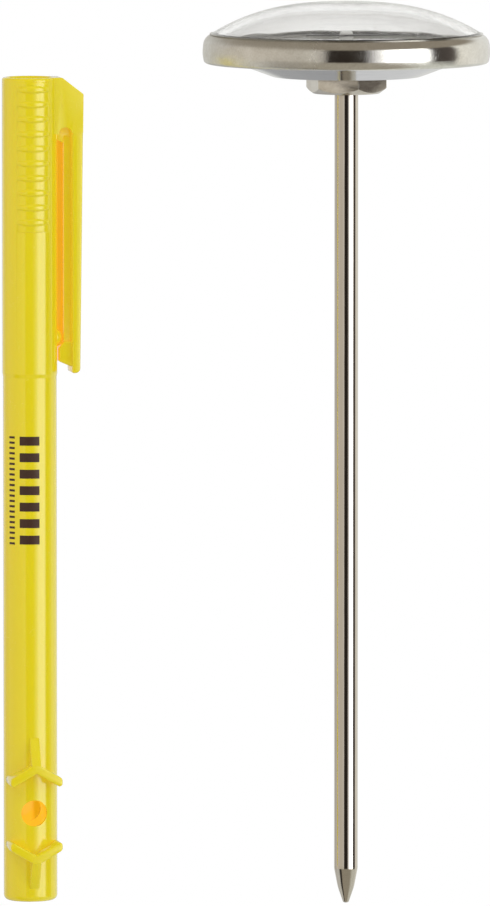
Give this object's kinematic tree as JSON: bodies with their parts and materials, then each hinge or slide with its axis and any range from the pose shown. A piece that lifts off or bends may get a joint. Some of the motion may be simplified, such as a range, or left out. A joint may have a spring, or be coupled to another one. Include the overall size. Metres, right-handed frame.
{
  "type": "dial thermometer",
  "caption": "Pocket probe thermometer with a domed dial on a thin pointed stem, beside its clip-on tubular sheath that carries a recalibration wrench.",
  "frame": {"origin": "on the stem axis in the plane of the hex nut underside, where the stem leaves the head", "axes": "+Z along the stem axis towards the dial; the sheath stands on the -X side; -Y is the side that the sheath wrench faces"},
  "size_m": [0.0761, 0.0448, 0.1413],
  "materials": {
    "stem_steel": "polished drawn stainless tube",
    "nut_steel": "turned stainless, bright",
    "case_steel": "pressed stainless, polished",
    "bezel_steel": "rolled stainless, satin",
    "spring_steel": "hardened spring steel",
    "shaft_steel": "ground steel wire",
    "bimetal": "rolled bimetal strip",
    "bush_brass": "turned brass",
    "seal_rubber": "moulded black rubber",
    "seat_plastic": "moulded white plastic",
    "dial_paint": "white enamel",
    "pointer_paint": "black enamel",
    "lens_clear": "clear moulded window",
    "sheath_plastic": "glossy yellow moulding"
  },
  "bodies": {
    "stem": {"stem_tube": "stem_steel", "stem_tip": "stem_steel", "hex_nut": "nut_steel", "neck_seal": "seal_rubber", "spring_washer": "spring_steel", "retaining_ring": "spring_steel", "lower_guide_bush": "bush_brass", "upper_bearing_bush": "bush_brass", "bimetal_coil": "bimetal"},
    "pointer": {"coil_collar": "bush_brass", "pointer_shaft": "shaft_steel", "pointer_hub": "bush_brass", "pointer": "pointer_paint"},
    "head": {"case_back": "case_steel", "dial_seat_ring": "seat_plastic", "dial_plate": "dial_paint", "lens_gasket": "seal_rubber", "bezel_ring": "bezel_steel", "lens": "lens_clear"},
    "sheath": {"sheath": "sheath_plastic"},
    "clip": {"pocket_clip": "sheath_plastic"}
  },
  "joints": [
    {"name": "head_turn", "type": "hinge", "parent": "stem", "child": "head", "pos_m": [0, 0, 0.003], "axis": [0, 0, 1], "continuous": true},
    {"name": "pointer_turn", "type": "hinge", "parent": "stem", "child": "pointer", "pos_m": [0, 0, 0.009], "axis": [0, 0, -1], "range_deg": [-86, 184], "stiffness_Nm_per_rad": 0.00002, "deforming": ["bimetal_coil"]},
    {"name": "sheath_draw", "type": "slide", "parent": "stem", "child": "sheath", "axis": [0.279, 0, -0.9603], "range_m": [0, 0.17703]},
    {"name": "clip_flex", "type": "hinge", "parent": "sheath", "child": "clip", "pos_m": [-0.04229, 0.00125, -0.0067], "axis": [0.1736, -0.9848, 0], "range_deg": [0, 4], "stiffness_Nm_per_rad": 0.05}
  ]
}
